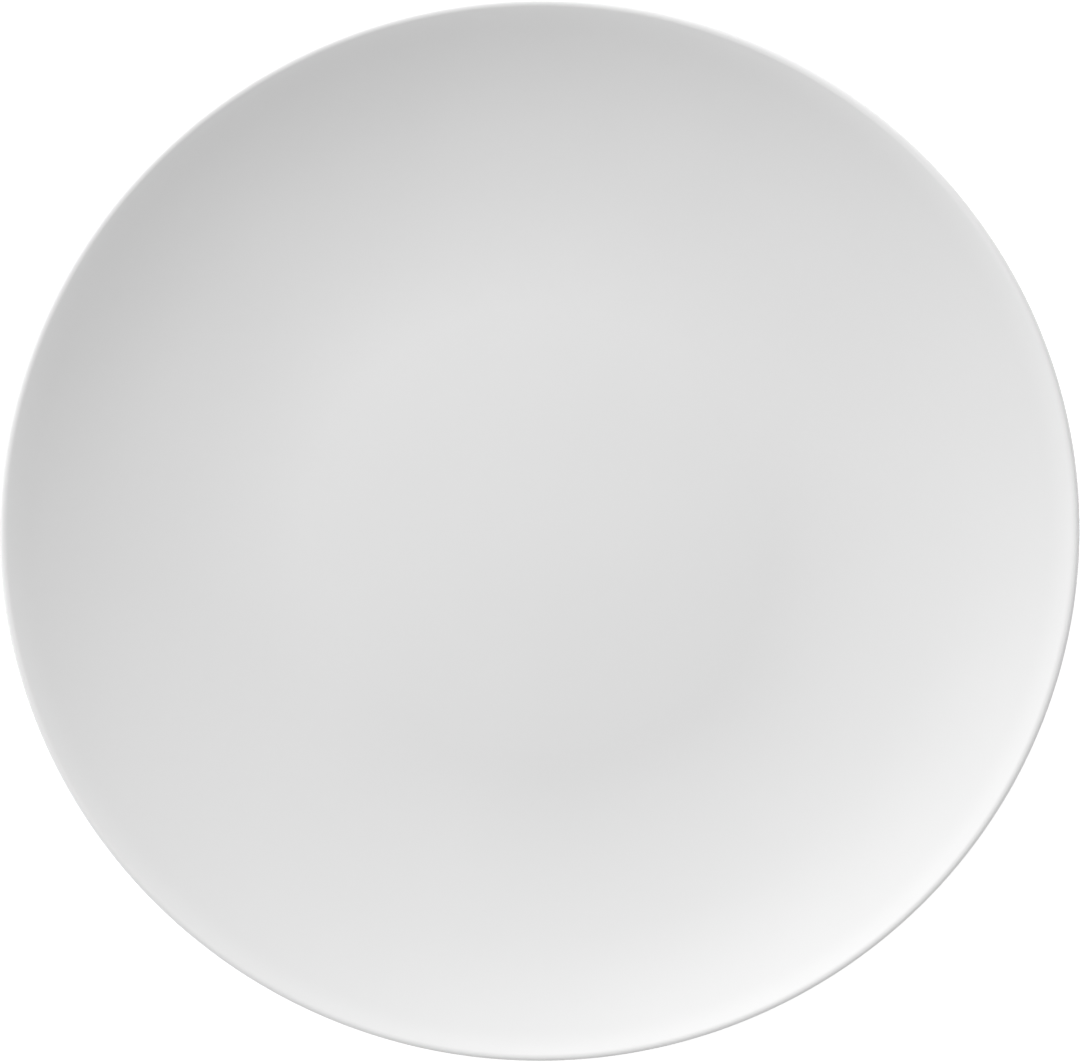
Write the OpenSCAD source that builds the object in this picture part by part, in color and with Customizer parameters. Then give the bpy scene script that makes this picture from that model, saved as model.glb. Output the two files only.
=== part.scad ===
// Coupe dinner plate in glazed porcelain.
// One fired body carries its own foot ring. A coat of glass is fused over it,
// and the bare resting face of the foot parts that coat in two.
// Millimetres, +Z up, origin at the centre of the resting face.

/* [Plate] */
// Overall diameter, over the glaze
plate_d = 270; // [240:1:300]
// Overall height, from the table to the top of the lip
plate_h = 25; // [22:0.5:30]
// Diameter of the flat well of the eating face
well_d = 122; // [100:1:140]
// How much more the face leans at the lip than one even arc would, in degrees
lip_upturn = 2.6; // [0:0.2:4]

/* [Thickness] */
// Floor of the well, glaze included
floor_t = 4.6; // [3.8:0.1:6]
// Wall where it leaves the well, glaze included
wall_root_t = 5; // [4.4:0.1:5.6]
// Lip, glaze included
lip_t = 2.6; // [2:0.1:4]
// Radius in which the face rolls over to the top of the lip
lip_roll_r = 2; // [1.4:0.1:4]

/* [Foot ring] */
// Diameter at the middle of the resting face
foot_d = 148; // [130:1:170]
// Width of the flat resting face
foot_land_w = 2.4; // [1.6:0.1:4]
// Rounding of the two edges of the resting face
foot_edge_r = 0.8; // [0.4:0.1:1.2]
// Lean of the foot's sides from upright, in degrees
foot_draft = 14; // [5:1:25]
// Height of the recess inside the foot, from the table to its glaze
recess_h = 3.4; // [3:0.1:5]
// Fillet between the foot and the wall
wall_fillet_r = 2.5; // [1:0.1:4]
// Fillet between the foot and the recess
recess_fillet_r = 2; // [1:0.1:3]

/* [Glaze] */
// Thickness of the coat of glass
glaze_t = 0.3; // [0.2:0.05:0.5]
// Height of the bare foot, from the table to the edge of the glaze
bare_h = 1.2; // [1:0.1:1.6]

/* [Hidden] */

// Largest distance between an arc and the chords that draw it
chord_sag = 0.01;
// Flats that a preview draws around the axis
turn_flats = 180;
// Most walls that a line through an outline crosses
outline_walls = 4;

// Radii and levels, on the glaze
plate_r = plate_d / 2;
well_r = well_d / 2;
foot_r = foot_d / 2;
lip_r = lip_t / 2;
bead_r = glaze_t / 2;
face_z = recess_h + floor_t;
root_z = face_z - wall_root_t;

// The lip ends in a circle. The underside's arc runs into it smoothly and lies
// level at the edge of the well, which sets its radius.
lip_c = [plate_r - lip_r, plate_h - lip_r];
wall_run = lip_c.x - well_r;
root_rise = lip_c.y - root_z;
under_r = (wall_run ^ 2 + root_rise ^ 2 - lip_r ^ 2) / (2 * (root_rise - lip_r));
under_c = [well_r, root_z + under_r];
under_lean = asin(wall_run / (under_r - lip_r));

// The face is level at the well too, and climbs in a wide arc and a tighter one.
// They meet at half its lean, and share its run and its rise. A third arc rolls
// the face over to the top of the lip.
face_lean = 2 * atan((plate_h - face_z) / wall_run) + lip_upturn;
half_lean = face_lean / 2;
lip_roll_c = [lip_c.x, plate_h - lip_roll_r];
face_run = wall_run - lip_roll_r * sin(face_lean);
face_rise = lip_roll_c.y + lip_roll_r * cos(face_lean) - face_z;
wide_share = [sin(half_lean), 1 - cos(half_lean)];
tight_share = [sin(face_lean), 1 - cos(face_lean)] - wide_share;
share_cross = cross(wide_share, tight_share);
wide_r = cross([face_run, face_rise], tight_share) / share_cross;
tight_r = cross(wide_share, [face_run, face_rise]) / share_cross;
wide_c = [well_r, face_z + wide_r];
tight_c = wide_c + (wide_r - tight_r) * [sin(half_lean), -cos(half_lean)];

// The foot's sides lean out from the resting face. A side is the line of points
// at one distance along its normal, and land_half + corner reaches its sharp corner.
land_half = foot_land_w / 2;
corner = foot_edge_r * tan(45 - foot_draft / 2);
outer_normal = [cos(foot_draft), -sin(foot_draft)];
outer_along = [sin(foot_draft), cos(foot_draft)];
outer_side = (foot_r + land_half + corner) * cos(foot_draft);
inner_side = (foot_r - land_half - corner) * cos(foot_draft);

// A fillet takes what room its side has above the edge of the glaze
bare_top = bare_h + glaze_t;
fillet_share = 1 - sin(foot_draft);
under_z = under_c.y - sqrt(under_r ^ 2 - (foot_r + land_half - well_r) ^ 2);
wall_fillet = min(wall_fillet_r, (under_z - bare_top) / fillet_share);
recess_fillet = min(recess_fillet_r, (recess_h - bare_top) / fillet_share);

// Centre of the wall's fillet: off the side by its radius, and off the underside's arc
fillet_base = (outer_side + glaze_t + wall_fillet) * outer_normal - under_c;
fillet_drop = fillet_base * outer_along;
fillet_reach = sqrt(fillet_drop ^ 2 - fillet_base * fillet_base + (under_r + wall_fillet) ^ 2);
wall_fillet_c = under_c + fillet_base - (fillet_drop + fillet_reach) * outer_along;
fillet_aim = atan2(wall_fillet_c.y - under_c.y, wall_fillet_c.x - under_c.x);

// Centre of the recess's fillet: off the ceiling and off the inner side
recess_fillet_z = recess_h - recess_fillet;
recess_fillet_c = [inner_x(recess_fillet_z, glaze_t + recess_fillet), recess_fillet_z];

// Centres of the rounded edges in which the two coats end
bead_z = bare_h + bead_r;
outer_bead_c = [outer_x(bead_z, bead_r), bead_z];
recess_bead_c = [inner_x(bead_z, bead_r), bead_z];

// Radius of the foot's sides at a height, a distance off their bare face
function outer_x(z, off) = (outer_side + off + z * sin(foot_draft)) / cos(foot_draft);
function inner_x(z, off) = (inner_side - off - z * sin(foot_draft)) / cos(foot_draft);

// Points of an arc after its first one, as chords that stay within chord_sag
function arc(centre, r, from, to) =
    let (step = 2 * acos(1 - chord_sag / r), n = ceil(abs(to - from) / step))
    [for (i = [1:n]) let (a = from + (to - from) * i / n) centre + r * [cos(a), sin(a)]];

function reversed(points) = [for (i = [len(points) - 1:-1:0]) points[i]];

// From the axis across the face, over the lip and down the underside to the foot,
// at a depth under the surface of the glaze
function outer_path(depth) = concat(
    [[0, face_z - depth], [well_r, face_z - depth]],
    arc(wide_c, wide_r + depth, -90, half_lean - 90),
    arc(tight_c, tight_r + depth, half_lean - 90, face_lean - 90),
    arc(lip_roll_c, lip_roll_r - depth, 90 + face_lean, 90),
    arc(lip_c, lip_r - depth, 90, under_lean - 90),
    arc(under_c, under_r - depth, under_lean - 90, fillet_aim),
    arc(wall_fillet_c, wall_fillet + depth, 180 + fillet_aim, 180 - foot_draft)
);

// From the axis across the ceiling of the recess and down to the foot
function recess_path(depth) = concat(
    [[0, recess_h + depth], [recess_fillet_c.x, recess_h + depth]],
    arc(recess_fillet_c, recess_fillet + depth, 90, foot_draft)
);

// The bare end of the foot, from its outer side under the land to its inner side
function foot_path() =
    let (
        outer_c = [foot_r + land_half, foot_edge_r],
        inner_c = [foot_r - land_half, foot_edge_r]
    )
    concat(
        [outer_c + foot_edge_r * outer_normal],
        arc(outer_c, foot_edge_r, -foot_draft, -90),
        [[inner_c.x, 0]],
        arc(inner_c, foot_edge_r, -90, foot_draft - 180)
    );

module turned(outline) {
    rotate_extrude(convexity = outline_walls, $fn = turn_flats) polygon(outline);
}

// Fired porcelain: the plate's whole shape, a coat of glaze thinner all round but
// at the resting face
module porcelain_body() {
    color("linen") turned(concat(
        outer_path(glaze_t),
        foot_path(),
        reversed(recess_path(glaze_t))
    ));
}

// The coat on the face, the lip, the underside and the foot's outer side
module outer_glaze() {
    color("whitesmoke") turned(concat(
        outer_path(0),
        arc(outer_bead_c, bead_r, -foot_draft, -foot_draft - 180),
        reversed(outer_path(glaze_t))
    ));
}

// The coat in the recess and on the foot's inner side
module recess_glaze() {
    color("whitesmoke") turned(concat(
        recess_path(0),
        arc(recess_bead_c, bead_r, 180 + foot_draft, 360 + foot_draft),
        reversed(recess_path(glaze_t))
    ));
}

porcelain_body();
outer_glaze();
recess_glaze();
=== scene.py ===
import math

import bmesh
import bpy
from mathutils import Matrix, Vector


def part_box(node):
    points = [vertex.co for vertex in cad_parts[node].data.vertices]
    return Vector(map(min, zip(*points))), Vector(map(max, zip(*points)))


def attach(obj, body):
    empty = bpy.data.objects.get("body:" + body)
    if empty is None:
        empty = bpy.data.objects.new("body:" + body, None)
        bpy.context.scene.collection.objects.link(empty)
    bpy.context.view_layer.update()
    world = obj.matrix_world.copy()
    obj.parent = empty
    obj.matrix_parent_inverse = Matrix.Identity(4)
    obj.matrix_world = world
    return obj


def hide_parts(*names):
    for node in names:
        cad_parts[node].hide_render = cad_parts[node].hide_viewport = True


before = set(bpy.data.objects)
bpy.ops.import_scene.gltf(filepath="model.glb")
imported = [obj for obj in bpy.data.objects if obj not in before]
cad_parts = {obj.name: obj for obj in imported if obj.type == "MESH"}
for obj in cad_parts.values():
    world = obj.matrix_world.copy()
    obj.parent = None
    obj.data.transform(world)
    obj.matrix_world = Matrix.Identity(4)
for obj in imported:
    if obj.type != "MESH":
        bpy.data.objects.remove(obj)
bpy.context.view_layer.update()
mm = 0.001
print("frame loaded:", ", ".join(sorted(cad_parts)))

# Plate profile: half of a section through the axis, as (radius, height) in millimetres
glazeLow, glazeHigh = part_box("outer_glaze")
recessLow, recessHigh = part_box("recess_glaze")

plateForm = {
    "radius": glazeHigh.x / mm,
    "height": glazeHigh.z / mm,
    "bareHeight": glazeLow.z / mm,  # table to the edge of the glaze
    "glaze": 0.3,
    "wellRadius": 61.0,
    "floor": 4.6,
    "wallRoot": 5.0,  # wall thickness where it leaves the well
    "lip": 2.6,
    "lipRoll": 2.0,  # radius in which the face rolls over to the top of the lip
    "lipUpturn": 2.6,  # degrees that the face leans at the lip beyond one even arc
    "footRadius": 74.0,
    "landWidth": 2.4,
    "footEdge": 0.8,
    "footDraft": 14.0,  # degrees
    "wallFillet": 2.5,
    "recessFillet": 2.0,
    "chordSag": 0.002,  # how far a chord may lie from its arc
    "wellRing": 6.0,  # spacing of the rings on flat faces
    "turns": 320,  # meridians round the axis
}


def arcPoints(centre, radius, start, end):
    # points of an arc after its first one, angles in degrees
    step = 2 * math.degrees(math.acos(1 - plateForm["chordSag"] / radius))
    count = math.ceil(abs(end - start) / step)
    angles = [math.radians(start + (end - start) * i / count) for i in range(1, count + 1)]
    return [(centre[0] + radius * math.cos(a), centre[1] + radius * math.sin(a)) for a in angles]


def flatPoints(reach, height):
    # from the axis out along a flat face
    count = math.ceil(reach / plateForm["wellRing"])
    return [(reach * i / count, height) for i in range(count + 1)]


def plateLines(form):
    # the arcs of the section, worked out from the sizes above
    lines = dict(form)
    lipRadius = form["lip"] / 2
    recessTop = recessHigh.z / mm - form["glaze"]
    faceHeight = recessTop + form["floor"]
    rootHeight = faceHeight - form["wallRoot"]
    lipCentre = (form["radius"] - lipRadius, form["height"] - lipRadius)
    run = lipCentre[0] - form["wellRadius"]
    # the face: a wide arc off the well, a tighter one that meets it at half the lean, and a roll
    # over to the top of the lip
    faceLean = 2 * math.atan((form["height"] - faceHeight) / run) + math.radians(form["lipUpturn"])
    halfLean = faceLean / 2
    rollCentre = (lipCentre[0], form["height"] - form["lipRoll"])
    faceRise = rollCentre[1] + form["lipRoll"] * math.cos(faceLean) - faceHeight
    whole = Vector((run - form["lipRoll"] * math.sin(faceLean), faceRise))
    wideShare = Vector((math.sin(halfLean), 1 - math.cos(halfLean)))
    tightShare = Vector((math.sin(faceLean), 1 - math.cos(faceLean))) - wideShare
    wideArc = whole.cross(tightShare) / wideShare.cross(tightShare)
    tightArc = wideShare.cross(whole) / wideShare.cross(tightShare)
    wideCentre = Vector((form["wellRadius"], faceHeight + wideArc))
    tightCentre = wideCentre + (wideArc - tightArc) * Vector((math.sin(halfLean), -math.cos(halfLean)))
    # the underside: one arc, level at the well and smooth into the lip
    rootRise = lipCentre[1] - rootHeight
    underArc = (run ** 2 + rootRise ** 2 - lipRadius ** 2) / (2 * (rootRise - lipRadius))
    underCentre = Vector((form["wellRadius"], rootHeight + underArc))
    draft = math.radians(form["footDraft"])
    corner = form["footEdge"] * math.tan(math.radians(45) - draft / 2)
    landHalf = form["landWidth"] / 2
    outerSide = (form["footRadius"] + landHalf + corner) * math.cos(draft)
    innerSide = (form["footRadius"] - landHalf - corner) * math.cos(draft)
    # the wall's fillet lies off the foot's side and off the underside's arc
    across = Vector((math.cos(draft), -math.sin(draft)))
    along = Vector((math.sin(draft), math.cos(draft)))
    base = (outerSide + form["glaze"] + form["wallFillet"]) * across - underCentre
    drop = base.dot(along)
    reach = math.sqrt(drop ** 2 - base.dot(base) + (underArc + form["wallFillet"]) ** 2)
    filletCentre = underCentre + base - (drop + reach) * along
    aim = filletCentre - underCentre
    recessFilletHeight = recessTop - form["recessFillet"]
    recessFilletSide = innerSide - form["glaze"] - form["recessFillet"]
    recessFilletSide -= recessFilletHeight * math.sin(draft)
    lines.update(
        lipRadius=lipRadius, lipCentre=lipCentre, rollCentre=rollCentre,
        recessTop=recessTop, faceHeight=faceHeight,
        wideArc=wideArc, wideCentre=wideCentre, tightArc=tightArc, tightCentre=tightCentre,
        halfLean=math.degrees(halfLean), faceLean=math.degrees(faceLean),
        underArc=underArc, underCentre=underCentre,
        underLean=math.degrees(math.asin(run / (underArc - lipRadius))),
        draft=draft, landHalf=landHalf, outerSide=outerSide, innerSide=innerSide,
        filletCentre=filletCentre, filletAim=math.degrees(math.atan2(aim.y, aim.x)),
        recessFilletCentre=(recessFilletSide / math.cos(draft), recessFilletHeight),
    )
    return lines


plate = plateLines(plateForm)


def outerPath(depth):
    # axis, face, lip, underside and down to the foot, at a depth under the glaze's surface
    faceJoin = plate["halfLean"] - 90
    faceEnd = plate["faceLean"] - 90
    underEnd = plate["underLean"] - 90
    aim = plate["filletAim"]
    return (
        flatPoints(plate["wellRadius"], plate["faceHeight"] - depth)
        + arcPoints(plate["wideCentre"], plate["wideArc"] + depth, -90, faceJoin)
        + arcPoints(plate["tightCentre"], plate["tightArc"] + depth, faceJoin, faceEnd)
        + arcPoints(plate["rollCentre"], plate["lipRoll"] - depth, faceEnd + 180, 90)
        + arcPoints(plate["lipCentre"], plate["lipRadius"] - depth, 90, underEnd)
        + arcPoints(plate["underCentre"], plate["underArc"] - depth, underEnd, aim)
        + arcPoints(plate["filletCentre"], plate["wallFillet"] + depth, aim + 180, 180 - plate["footDraft"])
    )


def recessPath(depth):
    # axis, ceiling of the recess and down to the foot
    return (
        flatPoints(plate["recessFilletCentre"][0], plate["recessTop"] + depth)
        + arcPoints(plate["recessFilletCentre"], plate["recessFillet"] + depth, 90, plate["footDraft"])
    )


def footPath():
    # the bare end of the foot, from its outer side under the land to its inner side
    edge = plate["footEdge"]
    outer = (plate["footRadius"] + plate["landHalf"], edge)
    inner = (plate["footRadius"] - plate["landHalf"], edge)
    start = (outer[0] + edge * math.cos(plate["draft"]), outer[1] - edge * math.sin(plate["draft"]))
    return (
        [start]
        + arcPoints(outer, edge, -plate["footDraft"], -90)
        + [(inner[0], 0)]
        + arcPoints(inner, edge, -90, plate["footDraft"] - 180)
    )


# The wiped edge of the glaze wanders a little round the foot
glazeEdge = {
    "wander": 0.1,  # mm up and down from its middle
    "lobes": (5, 11, 23),  # waves in one turn
    "shares": (0.5, 0.3, 0.2),
    "phases": (0.4, 2.1, 4.4),
    "innerShift": 2.6,  # turns the inner edge's wander away from the outer's
}


def edgeWander(angle, shift):
    waves = zip(glazeEdge["lobes"], glazeEdge["shares"], glazeEdge["phases"])
    return glazeEdge["wander"] * sum(s * (1 + math.sin(n * angle + p + shift)) for n, s, p in waves)


def glazeBead(angle, outer):
    # rounded edge of a coat on the foot's side
    bead = plate["glaze"] / 2
    height = plate["bareHeight"] + bead + edgeWander(angle, 0 if outer else glazeEdge["innerShift"])
    lean = height * math.sin(plate["draft"])
    if outer:
        side = (plate["outerSide"] + bead + lean) / math.cos(plate["draft"])
        return arcPoints((side, height), bead, -plate["footDraft"], -plate["footDraft"] - 180)
    side = (plate["innerSide"] - bead - lean) / math.cos(plate["draft"])
    return arcPoints((side, height), bead, 180 + plate["footDraft"], 360 + plate["footDraft"])


def outerCoat(angle):
    return outerPath(0) + glazeBead(angle, True) + outerPath(plate["glaze"])[::-1]


def recessCoat(angle):
    return recessPath(0) + glazeBead(angle, False) + recessPath(plate["glaze"])[::-1]


def porcelainSection(angle):
    return outerPath(plate["glaze"]) + footPath() + recessPath(plate["glaze"])[::-1]


def turnedPiece(name, sectionAt):
    # closed skin: the section's two ends lie on the axis, and each is one vertex there
    mesh = bmesh.new()
    first = sectionAt(0)
    poles = [mesh.verts.new((0, 0, first[i][1] * mm)) for i in (0, -1)]
    rings = []
    for turn in range(plateForm["turns"]):
        angle = math.tau * turn / plateForm["turns"]
        place = (math.cos(angle) * mm, math.sin(angle) * mm)
        section = sectionAt(angle)[1:-1]
        rings.append([mesh.verts.new((r * place[0], r * place[1], z * mm)) for r, z in section])
    for turn, ring in enumerate(rings):
        after = rings[(turn + 1) % len(rings)]
        mesh.faces.new((poles[0], ring[0], after[0]))
        for i in range(len(ring) - 1):
            mesh.faces.new((ring[i], ring[i + 1], after[i + 1], after[i]))
        mesh.faces.new((ring[-1], poles[1], after[-1]))
    bmesh.ops.recalc_face_normals(mesh, faces=mesh.faces)
    data = bpy.data.meshes.new(name)
    mesh.to_mesh(data)
    mesh.free()
    data.shade_smooth()
    piece = bpy.data.objects.new(name, data)
    bpy.context.scene.collection.objects.link(piece)
    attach(piece, "root")
    print("turned", name, len(data.polygons), "faces")
    return piece


plateGlaze = turnedPiece("plateGlaze", outerCoat)
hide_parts("outer_glaze")

recessGlaze = turnedPiece("recessGlaze", recessCoat)
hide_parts("recess_glaze")

bareBody = turnedPiece("bareBody", porcelainSection)
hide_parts("porcelain_body")


def linearColour(hexValue):
    # sRGB hex to linear RGBA
    parts = [int(hexValue[i:i + 2], 16) / 255 for i in (1, 3, 5)]
    return [p / 12.92 if p <= 0.04045 else ((p + 0.055) / 1.055) ** 2.4 for p in parts] + [1.0]


def addNode(tree, kind, settings=None, links=None):
    # a key is a socket's name or number, or else the node's own setting
    node = tree.nodes.new(kind)
    for key, value in (settings or {}).items():
        if isinstance(key, int) or key in node.inputs:
            node.inputs[key].default_value = value
        else:
            setattr(node, key, value)
    for socket, source in (links or {}).items():
        tree.links.new(source, node.inputs[socket])
    return node


def newMaterial(name):
    material = bpy.data.materials.new(name)
    material.use_nodes = True
    material.node_tree.nodes.clear()
    return material, material.node_tree


# Hard porcelain under a clear glaze, fired smooth: a neutral white body that scatters light,
# under one even gloss. The glaze runs thin towards the lip, which leaves it a little whiter,
# and gathers thicker and cooler in the corners beside the foot.
glazeFinish = {
    "white": "#EDEDED",
    "cloud": "#EAEAEA",  # where the coat lies a little thicker
    "cloudSize": 38.0,  # mm
    "cloudRoughness": 0.4,
    "cloudRange": (0.3, 0.7),  # the clouds' usual lowest and highest
    "thin": "#F2F2F2",
    "thinFrom": 127.0,  # mm off the axis, where the coat starts to run thin
    "pooled": "#E4E7E7",
    "poolReach": (3.0, 9.0),  # mm off the middle of the foot, full and none
    "poolHeight": (3.6, 5.4),  # mm off the table, full and none
    "ior": 1.52,
    "roughness": (0.09, 0.15),
    "waveSize": 2.4,  # mm, the skin's waves; real ones are 1 to 2 mm
    "waveDetail": 1.0,
    "waveHeight": 0.004,  # mm, drawn about twice as high as real ones to show
}


def glazedPorcelainMaterial():
    material, tree = newMaterial("glazedPorcelain")
    finish = glazeFinish
    place = addNode(tree, "ShaderNodeTexCoord").outputs["Object"]
    axes = addNode(tree, "ShaderNodeSeparateXYZ", links={"Vector": place})
    across = addNode(tree, "ShaderNodeVectorMath", {"operation": "MULTIPLY", 1: (1, 1, 0)}, {0: place})
    radius = addNode(tree, "ShaderNodeVectorMath", {"operation": "LENGTH"}, {0: across.outputs["Vector"]})
    radius = radius.outputs["Value"]
    clouds = addNode(tree, "ShaderNodeTexNoise", {
        "Scale": 1 / (finish["cloudSize"] * mm), "Roughness": finish["cloudRoughness"],
    }, {"Vector": place})
    white = addNode(tree, "ShaderNodeMix", {
        "data_type": "RGBA", 6: linearColour(finish["white"]), 7: linearColour(finish["cloud"]),
    }, {0: clouds.outputs["Fac"]})
    # thin towards the lip
    thin = addNode(tree, "ShaderNodeMapRange", {
        "interpolation_type": "SMOOTHSTEP",
        "From Min": finish["thinFrom"] * mm, "From Max": plateForm["radius"] * mm,
    }, {"Value": radius})
    lipWhite = addNode(tree, "ShaderNodeMix", {
        "data_type": "RGBA", 7: linearColour(finish["thin"]),
    }, {0: thin.outputs["Result"], 6: white.outputs[2]})
    # thick beside the foot
    offFoot = addNode(tree, "ShaderNodeMath", {
        "operation": "SUBTRACT", 1: plateForm["footRadius"] * mm,
    }, {0: radius})
    offFoot = addNode(tree, "ShaderNodeMath", {"operation": "ABSOLUTE"}, {0: offFoot.outputs[0]})
    nearFoot = addNode(tree, "ShaderNodeMapRange", {
        "interpolation_type": "SMOOTHSTEP", "To Min": 1.0, "To Max": 0.0,
        "From Min": finish["poolReach"][0] * mm, "From Max": finish["poolReach"][1] * mm,
    }, {"Value": offFoot.outputs[0]})
    low = addNode(tree, "ShaderNodeMapRange", {
        "interpolation_type": "SMOOTHSTEP", "To Min": 1.0, "To Max": 0.0,
        "From Min": finish["poolHeight"][0] * mm, "From Max": finish["poolHeight"][1] * mm,
    }, {"Value": axes.outputs["Z"]})
    pool = addNode(tree, "ShaderNodeMath", {"operation": "MULTIPLY"}, {
        0: nearFoot.outputs["Result"], 1: low.outputs["Result"],
    })
    colour = addNode(tree, "ShaderNodeMix", {
        "data_type": "RGBA", 7: linearColour(finish["pooled"]),
    }, {0: pool.outputs[0], 6: lipWhite.outputs[2]})
    gloss = addNode(tree, "ShaderNodeMapRange", {
        "From Min": finish["cloudRange"][0], "From Max": finish["cloudRange"][1],
        "To Min": finish["roughness"][0], "To Max": finish["roughness"][1],
    }, {"Value": clouds.outputs["Fac"]})
    waves = addNode(tree, "ShaderNodeTexNoise", {
        "Scale": 1 / (finish["waveSize"] * mm), "Detail": finish["waveDetail"],
    }, {"Vector": place})
    skin = addNode(tree, "ShaderNodeBump", {"Distance": finish["waveHeight"] * mm}, {
        "Height": waves.outputs["Fac"],
    })
    shader = addNode(tree, "ShaderNodeBsdfPrincipled", {"IOR": finish["ior"]}, {
        "Base Color": colour.outputs[2],
        "Roughness": gloss.outputs["Result"],
        "Normal": skin.outputs["Normal"],
    })
    addNode(tree, "ShaderNodeOutputMaterial", links={"Surface": shader.outputs["BSDF"]})
    return material


# Porcelain fired bare where it stood, its resting face ground on a wheel: dry and slightly
# warm, with no gloss, fine grain and faint rings from the wheel, greyed a little by use.
bareFinish = {
    "clay": "#F2EFEA",
    "grain": "#D8D3C9",
    "grainSize": 0.3,  # mm; real grains are about 0.1 mm, drawn coarser to show
    "grainDetail": 3.0,
    "grainRoughness": 0.6,
    "grainHeight": 0.02,  # mm
    "grainStrength": 0.7,
    "rubbed": "#D3CFC8",
    "ringSpacing": 0.25,  # mm between the wheel's marks
    "landTop": (0.02, 0.3),  # mm off the table, rubbed and not
    "roughness": (0.62, 0.8),
}


def groundBarePorcelainMaterial():
    material, tree = newMaterial("groundBarePorcelain")
    finish = bareFinish
    place = addNode(tree, "ShaderNodeTexCoord").outputs["Object"]
    axes = addNode(tree, "ShaderNodeSeparateXYZ", links={"Vector": place})
    across = addNode(tree, "ShaderNodeVectorMath", {"operation": "MULTIPLY", 1: (1, 1, 0)}, {0: place})
    radius = addNode(tree, "ShaderNodeVectorMath", {"operation": "LENGTH"}, {0: across.outputs["Vector"]})
    grain = addNode(tree, "ShaderNodeTexNoise", {
        "Scale": 1 / (finish["grainSize"] * mm),
        "Detail": finish["grainDetail"], "Roughness": finish["grainRoughness"],
    }, {"Vector": place})
    clay = addNode(tree, "ShaderNodeMix", {
        "data_type": "RGBA", 6: linearColour(finish["clay"]), 7: linearColour(finish["grain"]),
    }, {0: grain.outputs["Fac"]})
    rings = addNode(tree, "ShaderNodeTexNoise", {
        "noise_dimensions": "1D", "Scale": 1 / (finish["ringSpacing"] * mm),
    }, {"W": radius.outputs["Value"]})
    land = addNode(tree, "ShaderNodeMapRange", {
        "interpolation_type": "SMOOTHSTEP", "To Min": 1.0, "To Max": 0.0,
        "From Min": finish["landTop"][0] * mm, "From Max": finish["landTop"][1] * mm,
    }, {"Value": axes.outputs["Z"]})
    rub = addNode(tree, "ShaderNodeMath", {"operation": "MULTIPLY"}, {
        0: rings.outputs["Fac"], 1: land.outputs["Result"],
    })
    colour = addNode(tree, "ShaderNodeMix", {
        "data_type": "RGBA", 7: linearColour(finish["rubbed"]),
    }, {0: rub.outputs[0], 6: clay.outputs[2]})
    dryness = addNode(tree, "ShaderNodeMapRange", {
        "To Min": finish["roughness"][1], "To Max": finish["roughness"][0],
    }, {"Value": rub.outputs[0]})
    skin = addNode(tree, "ShaderNodeBump", {
        "Strength": finish["grainStrength"], "Distance": finish["grainHeight"] * mm,
    }, {"Height": grain.outputs["Fac"]})
    shader = addNode(tree, "ShaderNodeBsdfPrincipled", links={
        "Base Color": colour.outputs[2],
        "Roughness": dryness.outputs["Result"],
        "Normal": skin.outputs["Normal"],
    })
    addNode(tree, "ShaderNodeOutputMaterial", links={"Surface": shader.outputs["BSDF"]})
    return material


glazedPorcelain = glazedPorcelainMaterial()
plateGlaze.data.materials.append(glazedPorcelain)
recessGlaze.data.materials.append(glazedPorcelain)
bareBody.data.materials.append(groundBarePorcelainMaterial())
print("finishes set")

# Opal acrylic, sanded matt: pale and even with no gloss. It glows with painted light in a ring round
# the plate and gives none under it, which paints the plate's shadow there, so that the plate's edge stands
# on white
tableTop = {
    "size": 40.0,  # metres
    "drop": 0.1,  # mm under the plate
    "white": "#F4F4F4",
    "roughness": 0.9,
    "paintedGlow": 0.6,
    "paintedGlowStart": (95.0, 137.0),  # mm off the axis, none and full
    "paintedGlowEnd": (205.0, 700.0),  # mm off the axis, full and none
}


def paintedGlowTableMaterial():
    material, tree = newMaterial("paintedGlowTable")
    finish = tableTop
    place = addNode(tree, "ShaderNodeTexCoord").outputs["Object"]
    radius = addNode(tree, "ShaderNodeVectorMath", {"operation": "LENGTH"}, {0: place}).outputs["Value"]
    # painted light: the glow is full in a ring round the plate, none under it as a painted shadow, and
    # fades out far off
    start = addNode(tree, "ShaderNodeMapRange", {
        "interpolation_type": "SMOOTHSTEP", "To Min": 0.0, "To Max": finish["paintedGlow"],
        "From Min": finish["paintedGlowStart"][0] * mm, "From Max": finish["paintedGlowStart"][1] * mm,
    }, {"Value": radius})
    end = addNode(tree, "ShaderNodeMapRange", {
        "interpolation_type": "SMOOTHSTEP", "To Min": 1.0, "To Max": 0.0,
        "From Min": finish["paintedGlowEnd"][0] * mm, "From Max": finish["paintedGlowEnd"][1] * mm,
    }, {"Value": radius})
    paintedGlow = addNode(tree, "ShaderNodeMath", {"operation": "MULTIPLY"}, {
        0: start.outputs["Result"], 1: end.outputs["Result"],
    })
    shader = addNode(tree, "ShaderNodeBsdfPrincipled", {
        "Base Color": linearColour(finish["white"]),
        "Roughness": finish["roughness"],
        "Emission Color": linearColour(finish["white"]),
    }, {"Emission Strength": paintedGlow.outputs[0]})
    addNode(tree, "ShaderNodeOutputMaterial", links={"Surface": shader.outputs["BSDF"]})
    return material


paintedGlowSheet = paintedGlowTableMaterial()
bpy.ops.mesh.primitive_plane_add(size=tableTop["size"], location=(0, 0, -tableTop["drop"] * mm))
table = bpy.context.object
table.name = "table"
table.data.materials.append(paintedGlowSheet)

# Backdrop: the same sheet sweeps up all round, farther off than the camera. It hides the horizon
# and takes no part in the light.
backdropForm = {
    "start": 1.5,  # metres off the axis, where it leaves the table
    "sweep": 1.5,  # metres, radius of the bend
    "top": 4.0,  # metres off the table
    "steps": 24,  # along the bend
    "turns": 128,
}


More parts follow.
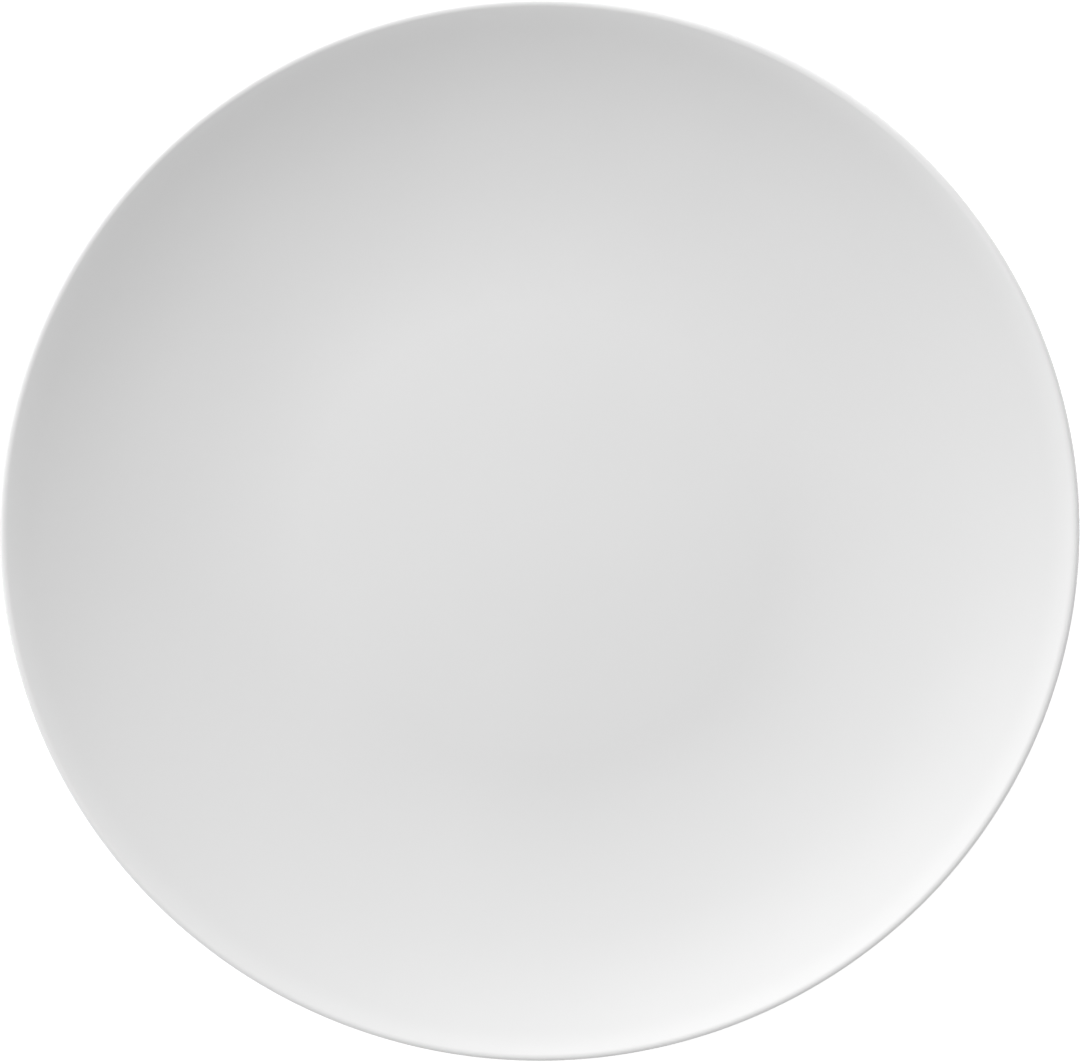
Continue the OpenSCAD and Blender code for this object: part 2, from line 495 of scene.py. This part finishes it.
def sweptLine(form):
    # (radius, height) round the bend, then straight up to the top
    bend = [math.pi / 2 * i / form["steps"] for i in range(form["steps"] + 1)]
    line = [(form["start"] + form["sweep"] * math.sin(a), form["sweep"] * (1 - math.cos(a))) for a in bend]
    return line + [(line[-1][0], form["top"])]


def sweptBackdrop(form):
    mesh = bmesh.new()
    verts = [mesh.verts.new((r, 0, z)) for r, z in sweptLine(form)]
    edges = [mesh.edges.new(pair) for pair in zip(verts, verts[1:])]
    bmesh.ops.spin(
        mesh, geom=verts + edges, axis=(0, 0, 1), cent=(0, 0, 0), angle=math.tau,
        steps=form["turns"], use_merge=True,
    )
    data = bpy.data.meshes.new("backdrop")
    mesh.to_mesh(data)
    mesh.free()
    data.shade_smooth()
    data.materials.append(paintedGlowSheet)
    backdrop = bpy.data.objects.new("backdrop", data)
    bpy.context.scene.collection.objects.link(backdrop)
    backdrop.location.z = -tableTop["drop"] * mm
    backdrop.visible_diffuse = False
    backdrop.visible_glossy = False
    backdrop.visible_transmission = False
    backdrop.visible_shadow = False
    return backdrop


sweptBackdrop(backdropForm)
print("table and backdrop set")

# Light: a softbox beside the plate, and a tent that is brighter on that side
studioLight = {
    "keyTurn": 116.0,  # degrees anticlockwise from +X, seen from above
    "keyZenith": 60.0,  # degrees off straight up
    "keyDistance": 0.7,  # metres
    "keySize": 0.6,  # metres
    "keyPower": 2.65,  # watts
    "tentTurn": 130.0,
    "tentZenith": 60.0,
    "tentSpread": 60.0,  # degrees from its brightest cloth to where it is no brighter than elsewhere
    "tentShade": 0.427,
    "tentBright": 1.54,
}


def direction(turn, zenith):
    turn = math.radians(turn)
    zenith = math.radians(zenith)
    level = math.sin(zenith)
    return Vector((level * math.cos(turn), level * math.sin(turn), math.cos(zenith)))


def aimed(obj, target):
    obj.rotation_euler = (Vector(target) - obj.location).to_track_quat("-Z", "Y").to_euler()


lamp = bpy.data.lights.new("keySoftbox", "AREA")
lamp.shape = "SQUARE"
lamp.size = studioLight["keySize"]
lamp.energy = studioLight["keyPower"]
softbox = bpy.data.objects.new("keySoftbox", lamp)
bpy.context.scene.collection.objects.link(softbox)
softbox.location = studioLight["keyDistance"] * direction(studioLight["keyTurn"], studioLight["keyZenith"])
softbox.visible_camera = False
aimed(softbox, (0, 0, 0))

world = bpy.data.worlds.new("lightTent")
world.use_nodes = True
tree = world.node_tree
tree.nodes.clear()
toSky = addNode(tree, "ShaderNodeTexCoord").outputs["Generated"]
bright = direction(studioLight["tentTurn"], studioLight["tentZenith"])
facing = addNode(tree, "ShaderNodeVectorMath", {"operation": "DOT_PRODUCT", 1: bright}, {0: toSky})
cloth = addNode(tree, "ShaderNodeMapRange", {
    "interpolation_type": "SMOOTHSTEP", "From Min": math.cos(math.radians(studioLight["tentSpread"])),
    "To Min": studioLight["tentShade"], "To Max": studioLight["tentBright"],
}, {"Value": facing.outputs["Value"]})
sky = addNode(tree, "ShaderNodeBackground", {"Color": (1, 1, 1, 1)}, {
    "Strength": cloth.outputs["Result"],
})
addNode(tree, "ShaderNodeOutputWorld", links={"Surface": sky.outputs["Background"]})
bpy.context.scene.world = world
bpy.context.scene.view_settings.view_transform = "Standard"
print("lights set")

# Camera
photoView = {
    "turn": 90.0,  # the camera leans in from the side at the top of the photo
    "elevation": 80.14,  # degrees above the table
    "roll": 180.0,  # keeps that side at the top
    "lens": 60.0,  # mm
    "sensor": 36.0,  # mm
    "photoWidth": 1080,  # px
    "halfWidth": 540.8,  # px, the plate's half width in the photo
    "aim": (0.17, 6.38),  # mm off the axis, sets the outline where the photo has it
}
camera = bpy.data.objects.new("camera", bpy.data.cameras.new("camera"))
bpy.context.scene.collection.objects.link(camera)
camera.data.lens = photoView["lens"]
camera.data.sensor_width = photoView["sensor"]
pixel = photoView["sensor"] / photoView["photoWidth"]
distance = plateForm["radius"] * mm * photoView["lens"] / (photoView["halfWidth"] * pixel)
target = Vector((*photoView["aim"], plate["lipCentre"][1])) * mm
camera.location = target + distance * direction(photoView["turn"], 90 - photoView["elevation"])
aimed(camera, target)
camera.rotation_euler.rotate_axis("Z", math.radians(photoView["roll"]))
bpy.context.scene.camera = camera
print("camera at", [round(x, 3) for x in camera.location])
